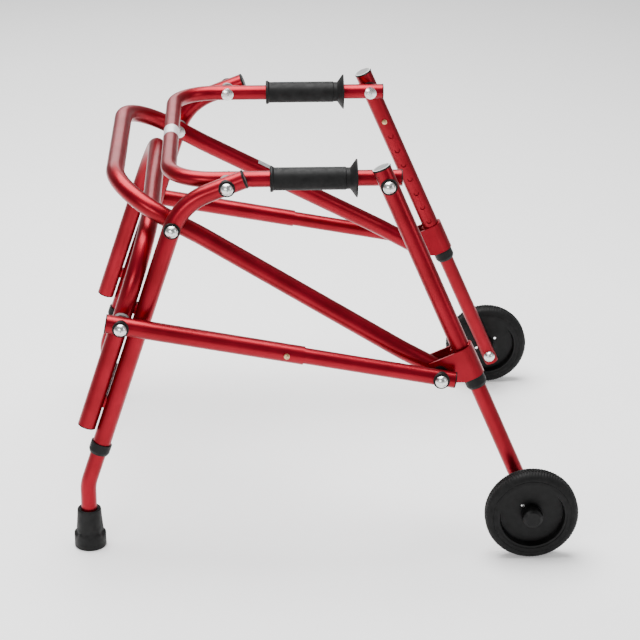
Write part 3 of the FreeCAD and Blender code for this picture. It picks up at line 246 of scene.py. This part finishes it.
def paint_frame():
    """Puts the finished materials on every CAD node that stays in view."""
    bent = anodised_red("red_bent_tube")
    for name in ("rear_leg_left", "rear_leg_right", "rear_arch", "arch_tabs", "back_loop"):
        paint(name, bent)
    paint("handlebar", anodised_red("red_handlebar", X_AXIS))
    paint("handlebar_label", FILM)
    for name in ("arch_plugs", "rear_collars", "leg_pivot_rings", "handlebar_plugs"):
        paint(name, BLACK)
    paint("leg_pivot_spacers", GREY)
    for name in ("side_pivot_bolts", "handlebar_bolts", "loop_bolts"):
        paint(name, ZINC)
    for side in SIDES:
        leg_red = anodised_red("red_front_leg_" + side, joint_axis("front_leg_height_" + side))
        for name in ("front_leg_", "front_leg_inner_", "front_bracket_"):
            paint(name + side, leg_red)
        rear_red = anodised_red("red_rear_inner_" + side, joint_axis("rear_leg_height_" + side))
        paint("rear_leg_inner_" + side, rear_red)
        bar_red = anodised_red("red_side_bar_" + side, joint_axis("side_bar_slide_" + side))
        for name in ("side_bar_outer_", "side_bar_inner_"):
            paint(name + side, bar_red)
        for name in ("front_collar_", "front_pivot_rings_", "side_bar_rear_trim_", "side_bar_front_trim_"):
            paint(name + side, BLACK)
        for name in ("wheel_hub_", "hub_cap_"):
            paint(name + side, HUB)
        for name in ("front_pivot_bolts_", "side_bar_bolt_", "axle_bolt_"):
            paint(name + side, ZINC)
        for name in ("front_button_", "rear_button_", "side_button_"):
            paint(name + side, BRASS)
        paint("grip_" + side, GRIP)


# ---------------------------------------------------------------- mesh building

def frame_at(origin, along, towards):
    """A matrix whose Z runs along a direction and whose X leans to another."""
    z_dir = Vector(along).normalized()
    y_dir = z_dir.cross(Vector(towards)).normalized()
    x_dir = y_dir.cross(z_dir)
    return Matrix.Translation(origin) @ Matrix((x_dir, y_dir, z_dir)).transposed().to_4x4()


def new_piece(name, mesh, body, slot, *materials):
    """A finished piece that rides on a body."""
    data = bpy.data.meshes.new(name)
    mesh.normal_update()
    mesh.to_mesh(data)
    mesh.free()
    piece = bpy.data.objects.new(name, data)
    bpy.context.scene.collection.objects.link(piece)
    for material in materials:
        data.materials.append(material)
    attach(piece, body)
    return piece


def shade(piece, sharp_degrees=35):
    """Smooth faces with crisp edges where they turn sharply."""
    for face in piece.data.polygons:
        face.use_smooth = True
    piece.data.set_sharp_from_angle(angle=math.radians(sharp_degrees))


def lathe(mesh, matrix, rings, steps, closed=False):
    """Joins rings of points into a skin.

    Each ring is a function of the angle that gives a radius and a height."""
    rows = []
    for ring in rings:
        row = []
        for i in range(steps):
            angle = 2 * math.pi * i / steps
            radius, height = ring(angle)
            spot = Vector((radius * math.cos(angle), radius * math.sin(angle), height))
            row.append(mesh.verts.new(matrix @ spot))
        rows.append(row)
    pairs = list(zip(rows, rows[1:]))
    if closed:
        pairs.append((rows[-1], rows[0]))
    faces = []
    for low, high in pairs:
        band = []
        for i in range(steps):
            j = (i + 1) % steps
            band.append(mesh.faces.new((low[i], low[j], high[j], high[i])))
        faces.append(band)
    return rows, faces


def plain(radius, height):
    """A round ring for lathe()."""
    return lambda angle: (radius, height)


# ---------------------------------------------------------------- tyres

TREAD_BLOCKS = 96
TREAD_DEPTH = 0.9 * MM
SHOULDER = 9 * MM
SHOULDER_TURNS = 5
TYRE_SECTION = 16 * MM
GROOVE_SHARE = 1 / 3
STEPS_PER_BLOCK = 6


def tread_ring(radius, height, share, shift):
    """A ring of the tyre whose radius drops in each groove between two tread blocks."""
    def ring(angle):
        phase = (angle / (2 * math.pi) * TREAD_BLOCKS + shift) % 1
        groove = 1 if phase < GROOVE_SHARE else 0
        return radius - groove * share * TREAD_DEPTH, height
    return ring


def tyre(side):
    """A solid rubber tyre with three rows of small tread blocks and lines round its walls."""
    low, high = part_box("tyre_" + side)
    middle = (low + high) / 2
    radius = (high.z - low.z) / 2
    half = (high.y - low.y) / 2
    seat = radius - TYRE_SECTION
    rings = [plain(seat, -half), plain(radius - SHOULDER - 2.6 * MM, -half)]
    rings.append(plain(radius - SHOULDER - 1.9 * MM, -half + 0.5 * MM))
    rings.append(plain(radius - SHOULDER - 1 * MM, -half))
    for i in range(SHOULDER_TURNS):
        lean = math.pi / 2 * i / SHOULDER_TURNS
        share = max(0.0, math.sin(lean) * 1.6 - 0.9)
        reach = radius - SHOULDER + SHOULDER * math.sin(lean)
        rings.append(tread_ring(reach, -half + SHOULDER * (1 - math.cos(lean)), share, 0))
    crown = half - SHOULDER
    inner = crown * 0.4
    across = [(-crown, 0, 1), (-inner - 0.5 * MM, 0, 1), (-inner, 0, 0), (-inner, 0.5, 0)]
    for height, shift, share in across:
        rings.append(tread_ring(radius, height, share, shift))
    rings[-2] = plain(radius - TREAD_DEPTH, -inner - 0.3 * MM)
    rings[-1] = plain(radius - TREAD_DEPTH, -inner + 0.3 * MM)
    rings.append(tread_ring(radius, -inner + 0.6 * MM, 1, 0.5))
    mirrored = []
    for ring in rings[::-1]:
        mirrored.append(lambda angle, ring=ring: (ring(angle)[0], -ring(angle)[1]))
    mesh = bmesh.new()
    matrix = frame_at(middle, Y_AXIS * SIDES[side], X_AXIS)
    lathe(mesh, matrix, rings + mirrored, TREAD_BLOCKS * STEPS_PER_BLOCK, closed=True)
    bmesh.ops.recalc_face_normals(mesh, faces=mesh.faces)
    piece = new_piece("tyre_tread_" + side, mesh, "wheel_" + side, "tyre", TYRE)
    shade(piece)
    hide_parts("tyre_" + side)


# ---------------------------------------------------------------- rubber tips

TIP_CROWN = 16.7 * MM
TIP_LOBES = 6
TIP_STEPS = 96

def tip(side):
    """A tapered rubber ferrule with a scalloped foot and a bead round its mouth."""
    low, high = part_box("rubber_tip_" + side)
    centre = Vector(((low.x + high.x) / 2, (low.y + high.y) / 2, 0))
    base = (high.x - low.x) / 2
    height = high.z
    crown = TIP_CROWN
    bore = INNER_RADIUS

    def lobed(radius, level, depth, lift):
        """A ring that dips between the lobes of the foot."""
        def ring(angle):
            wave = 0.5 - 0.5 * math.cos(TIP_LOBES * angle)
            return radius - depth * wave ** 2, level + lift * (1 - wave)
        return ring

    rings = [
        plain(bore, 6 * MM), plain(bore + 1 * MM, 6 * MM), plain(bore + 1 * MM, 1 * MM),
        plain(base - 5 * MM, 1 * MM), plain(base - 4 * MM, 0), plain(base - 1.2 * MM, 0),
        plain(base - 0.2 * MM, 1.2 * MM), plain(base, 3 * MM), lobed(base - 0.2 * MM, 13 * MM, 0.2 * MM, 0),
        lobed(base - 0.1 * MM, 17 * MM, 0.9 * MM, 1.5 * MM),
        lobed(base - 0.4 * MM, 19 * MM, 1.4 * MM, 2.4 * MM),
        lobed(base - 1.6 * MM, 21 * MM, 1.6 * MM, 2.6 * MM),
        lobed(base - 3.2 * MM, 23 * MM, 0.8 * MM, 1.5 * MM), plain(base - 3.6 * MM, 27 * MM),
        plain(crown + 0.6 * MM, height - 12 * MM), plain(crown, height - 2 * MM),
        plain(crown - 0.5 * MM, height - 0.6 * MM), plain(crown - 1.4 * MM, height),
        plain(crown - 2.6 * MM, height - 0.5 * MM), plain(bore + 0.6 * MM, height - 1.6 * MM),
        plain(bore, height - 3 * MM),
    ]
    mesh = bmesh.new()
    matrix = frame_at(centre, Z_AXIS, X_AXIS)
    rows, _ = lathe(mesh, matrix, rings, TIP_STEPS)
    mesh.faces.new(rows[0])
    bmesh.ops.recalc_face_normals(mesh, faces=mesh.faces)
    piece = new_piece("tip_rubber_" + side, mesh, "rear_leg_inner_" + side, "rubber", TIP)
    shade(piece, 40)
    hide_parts("rubber_tip_" + side)


# ---------------------------------------------------------------- leg caps

CAP_OVERHANG = 0.4 * MM
CAP_THICKNESS = 2.6 * MM
CAP_STEPS = 72
BAND_ROWS = 4
RIM_ROWS = 7
BAND_SLOT, RIM_SLOT, DISC_SLOT = range(3)


def cap_slot(row):
    """The material slot of one row of a cap's faces, from its spigot to its disc."""
    if row < BAND_ROWS:
        return BAND_SLOT
    if row < RIM_ROWS:
        return RIM_SLOT
    return DISC_SLOT


def leg_cap(mesh, end, outward):
    """A cap with a band, a rim and a sunken disc, each with a material of its own."""
    radius = OUTER_RADIUS + CAP_OVERHANG
    thickness = CAP_THICKNESS
    spigot = INNER_RADIUS - 0.1 * MM
    rings = [
        plain(spigot, -4 * MM), plain(spigot, 0), plain(radius, 0),
        plain(radius, thickness - 0.9 * MM), plain(radius - 0.5 * MM, thickness - 0.2 * MM),
        plain(radius - 1.0 * MM, thickness), plain(radius - 2.0 * MM, thickness),
        plain(radius - 2.4 * MM, thickness - 0.5 * MM), plain(4 * MM, thickness - 0.4 * MM),
    ]
    rows, bands = lathe(mesh, frame_at(end, outward, Y_AXIS), rings, CAP_STEPS)
    for i, band in enumerate(bands):
        for face in band:
            face.material_index = cap_slot(i)
    lid = mesh.faces.new(rows[-1])
    lid.material_index = DISC_SLOT
    mesh.faces.new(rows[0])


END_TOLERANCE = 0.2 * MM
HEAD_RISE = math.radians(21)


def end_centre(name, along):
    """The centre of the rim at the far end of a turned piece, seen along a direction."""
    spots = [v.co for v in nodes[name].data.vertices]
    furthest = max(spot.dot(along) for spot in spots)
    rim = [spot for spot in spots if spot.dot(along) > furthest - END_TOLERANCE]
    middle = Vector()
    for i in range(3):
        middle[i] = (min(s[i] for s in rim) + max(s[i] for s in rim)) / 2
    return middle


def front_caps():
    """The caps of the front legs, on top."""
    for side in SIDES:
        along = joint_axis("front_leg_height_" + side) * -1
        mesh = bmesh.new()
        leg_cap(mesh, end_centre("front_leg_" + side, along), along)
        bmesh.ops.recalc_face_normals(mesh, faces=mesh.faces)
        # The rim slot of each front cap gets the pale grey painted highlight; the band is black and the
        # disc grey.
        piece = new_piece("front_cap_" + side, mesh, "front_leg_" + side, "grey_plastic", BLACK, PAINTED_HIGHLIGHT_RIM, GREY)
        shade(piece)
        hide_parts("front_leg_cap_" + side)


def rear_caps():
    """The caps of the rear legs, at the end of their bent heads."""
    mesh = bmesh.new()
    for side in SIDES:
        along = Vector((math.cos(HEAD_RISE), 0, math.sin(HEAD_RISE)))
        tilt = joint_axis("rear_leg_height_" + side)
        # The head lies in the same leaning plane as the leg below it.
        along.y = along.z * tilt.y / tilt.z
        along.normalize()
        leg_cap(mesh, end_centre("rear_leg_" + side, along), along)
    bmesh.ops.recalc_face_normals(mesh, faces=mesh.faces)
    piece = new_piece("rear_caps", mesh, "rear_frame", "grey_plastic", BLACK, BLACK, DARK_GREY)
    shade(piece)
    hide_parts("rear_leg_caps")


# ---------------------------------------------------------------- weld beads

BEAD_STEPS = 10
TAB_SPOTS = 13
TAB_BEAD_INSET = 0.8 * MM
BRACKET_BEAD_SPOTS = 15
BRACKET_BEAD_LIFT = 0.6 * MM
COLLAR_FOOT_TO_BRACKET_TOP = 62.5 * MM
BRACKET_BEAD_ARCS = ((-38, 38), (142, 218))

def bead(mesh, path, radius, ripple):
    """A rippled weld bead along a row of points."""
    previous = None
    count = len(path)
    for i, spot in enumerate(path):
        ahead = path[min(i + 1, count - 1)] - path[max(i - 1, 0)]
        taper = math.sin(math.pi * (i + 0.4) / (count - 0.2)) ** 0.35
        size = radius * taper * (1 + ripple * math.sin(i * 1.9))
        matrix = frame_at(spot, ahead, Z_AXIS if abs(ahead.normalized().z) < 0.9 else X_AXIS)
        row = []
        for k in range(BEAD_STEPS):
            angle = 2 * math.pi * k / BEAD_STEPS
            row.append(mesh.verts.new(matrix @ Vector((size * math.cos(angle), size * math.sin(angle), 0))))
        if previous:
            for k in range(BEAD_STEPS):
                j = (k + 1) % BEAD_STEPS
                mesh.faces.new((previous[k], previous[j], row[j], row[k]))
        else:
            mesh.faces.new(row)
        previous = row
    mesh.faces.new(previous)


def arc_round(centre, along, towards, radius, start, end, count):
    """Points on part of a circle round an axis."""
    matrix = frame_at(centre, along, towards)
    points = []
    for i in range(count):
        angle = math.radians(start + (end - start) * i / (count - 1))
        points.append(matrix @ Vector((radius * math.cos(angle), radius * math.sin(angle), 0)))
    return points


def tab_welds():
    """Beads where the four tabs meet the rear legs and the arch."""
    mesh = bmesh.new()
    low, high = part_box("arch_tabs")
    material = anodised_red("red_weld")
    spots = [v.co.copy() for v in nodes["arch_tabs"].data.vertices]
    mid_z = (low.z + high.z) / 2
    for side, hand in SIDES.items():
        down = joint_axis("rear_leg_height_" + side)
        back = Vector((down.z, 0, -down.x)).normalized()
        for upper in (True, False):
            group = [s for s in spots if s.y * hand > 0 and (s.z > mid_z) == upper]
            centre = sum(group, Vector()) / len(group)
            lengths = [(s - centre).dot(down) for s in group]
            depths = [(s - centre).dot(back) for s in group]
            widths = [(s - centre).y for s in group]
            half_long = (max(lengths) - min(lengths)) / 2
            half_deep = (max(depths) - min(depths)) / 2 - TAB_BEAD_INSET
            half_wide = (max(widths) - min(widths)) / 2
            for reach in (-half_deep, half_deep):
                for flank in (-half_wide, half_wide):
                    path = []
                    for i in range(TAB_SPOTS):
                        run = -half_long + 2 * half_long * i / (TAB_SPOTS - 1)
                        path.append(centre + back * reach + Y_AXIS * flank + down * run)
                    bead(mesh, path, 1.5 * MM, 0.14)
    piece = new_piece("arch_weld_beads", mesh, "rear_frame", "red_tube", material)
    shade(piece, 60)
    return material


def bracket_welds(material):
    """Beads between each front leg and the top of its bracket, in front and behind."""
    for side in SIDES:
        down = joint_axis("front_leg_height_" + side)
        leg_foot = end_centre("front_collar_" + side, down)
        centre = leg_foot - down * COLLAR_FOOT_TO_BRACKET_TOP
        ahead = X_AXIS - down * X_AXIS.dot(down)
        mesh = bmesh.new()
        radius = OUTER_RADIUS + BRACKET_BEAD_LIFT
        for start, end in BRACKET_BEAD_ARCS:
            path = arc_round(centre, down * -1, ahead, radius, start, end, BRACKET_BEAD_SPOTS)
            bead(mesh, path, 1.7 * MM, 0.15)
        piece = new_piece("bracket_weld_beads_" + side, mesh, "front_leg_" + side, "red_tube", material)
        shade(piece, 60)


# ---------------------------------------------------------------- blank sticker

JOG_START = 42 * MM
JOG_END = 356 * MM
LOOP_HALF_WIDTH = 206.3 * MM
STICKER_RUN = 131 * MM
STICKER_LENGTH = 26 * MM
STICKER_ROWS = 9
STICKER_WRAP = 42
STICKER_LIFT = 0.15 * MM

def sticker():
    """A small blank sticker wrapped over the top of the left arm of the back loop."""
    hinge = joint_place("fold")
    front = joint_place("front_leg_fold_left")
    slope = Vector((front.x - hinge.x, 0, front.z - hinge.z))
    drift = (front.y - LOOP_HALF_WIDTH) / (JOG_END - JOG_START)
    along = (slope.normalized() + Y_AXIS * drift).normalized()
    start = hinge + Y_AXIS * (LOOP_HALF_WIDTH - JOG_START * drift)
    mesh = bmesh.new()
    rows = []
    for i in range(STICKER_ROWS):
        reach = STICKER_RUN + STICKER_LENGTH * i / (STICKER_ROWS - 1)
        centre = start + (slope.normalized() + Y_AXIS * drift) * reach
        radius = OUTER_RADIUS + STICKER_LIFT
        row = arc_round(centre, along, Z_AXIS, radius, -STICKER_WRAP, STICKER_WRAP, 17)
        rows.append([mesh.verts.new(spot) for spot in row])
    for low, high in zip(rows, rows[1:]):
        for k in range(len(low) - 1):
            mesh.faces.new((low[k], low[k + 1], high[k + 1], high[k]))
    bmesh.ops.solidify(mesh, geom=mesh.faces[:], thickness=-0.1 * MM)
    bmesh.ops.recalc_face_normals(mesh, faces=mesh.faces)
    piece = new_piece("loop_sticker", mesh, "back_loop", "label", FILM)
    shade(piece)


# ---------------------------------------------------------------- studio

CAMERA_PLACE = Vector((-0.1062, -3.0609, 1.4838))
CAMERA_AZIMUTH = math.radians(2.0588)
CAMERA_DOWN = math.radians(22.2005)
LENS = 125.55
SENSOR_WIDTH = 36
STUDIO_CENTRE = (0, 0, 0.28)
FLOOR_RADIUS = 25
WORLD_STRENGTH = 0.30


def camera():
    """A camera on the right, above, looking a little forward."""
    data = bpy.data.cameras.new("camera")
    data.sensor_width = SENSOR_WIDTH
    data.lens = LENS
    data.clip_start = 0.1
    data.clip_end = 60
    eye = bpy.data.objects.new("camera", data)
    eye.location = CAMERA_PLACE
    ahead = Vector((
        math.sin(CAMERA_AZIMUTH) * math.cos(CAMERA_DOWN),
        math.cos(CAMERA_AZIMUTH) * math.cos(CAMERA_DOWN),
        -math.sin(CAMERA_DOWN),
    ))
    eye.rotation_mode = "QUATERNION"
    eye.rotation_quaternion = ahead.to_track_quat("-Z", "Y")
    bpy.context.scene.collection.objects.link(eye)
    bpy.context.scene.camera = eye


def softbox(name, place, target, width, depth, power):
    """A soft rectangular light aimed at a point."""
    data = bpy.data.lights.new(name, "AREA")
    data.shape = "RECTANGLE"
    data.size = width
    data.size_y = depth
    data.energy = power
    lamp = bpy.data.objects.new(name, data)
    lamp.location = place
    lamp.rotation_mode = "QUATERNION"
    lamp.rotation_quaternion = (Vector(target) - Vector(place)).to_track_quat("-Z", "Y")
    bpy.context.scene.collection.objects.link(lamp)


def studio():
    """A wide pale floor, soft lights and a pale surround."""
    mesh = bmesh.new()
    bmesh.ops.create_circle(mesh, cap_ends=True, radius=FLOOR_RADIUS, segments=96)
    data = bpy.data.meshes.new("floor")
    mesh.to_mesh(data)
    mesh.free()
    data.materials.append(paper_white())
    floor = bpy.data.objects.new("floor", data)
    bpy.context.scene.collection.objects.link(floor)
    softbox("top_light", (-0.3, 0.3, 2.6), STUDIO_CENTRE, 2.2, 2.2, 195)
    softbox("key_light", (-1.2, -2.6, 1.3), STUDIO_CENTRE, 1.2, 0.4, 30)
    softbox("front_light", (2.4, -1.2, 1.2), STUDIO_CENTRE, 0.8, 1.4, 14)
    softbox("back_light", (-0.6, 2.8, 1.6), STUDIO_CENTRE, 2.0, 0.9, 22)
    world = bpy.data.worlds.new("surround")
    world.use_nodes = True
    background = world.node_tree.nodes["Background"]
    background.inputs["Color"].default_value = (1.0, 1.0, 1.0, 1)
    background.inputs["Strength"].default_value = WORLD_STRENGTH
    bpy.context.scene.world = world


# ---------------------------------------------------------------- the whole

paint_frame()
for side_name in SIDES:
    tyre(side_name)
    tip(side_name)
front_caps()
rear_caps()
bracket_welds(tab_welds())
sticker()
studio()
camera()

bpy.context.view_layer.update()
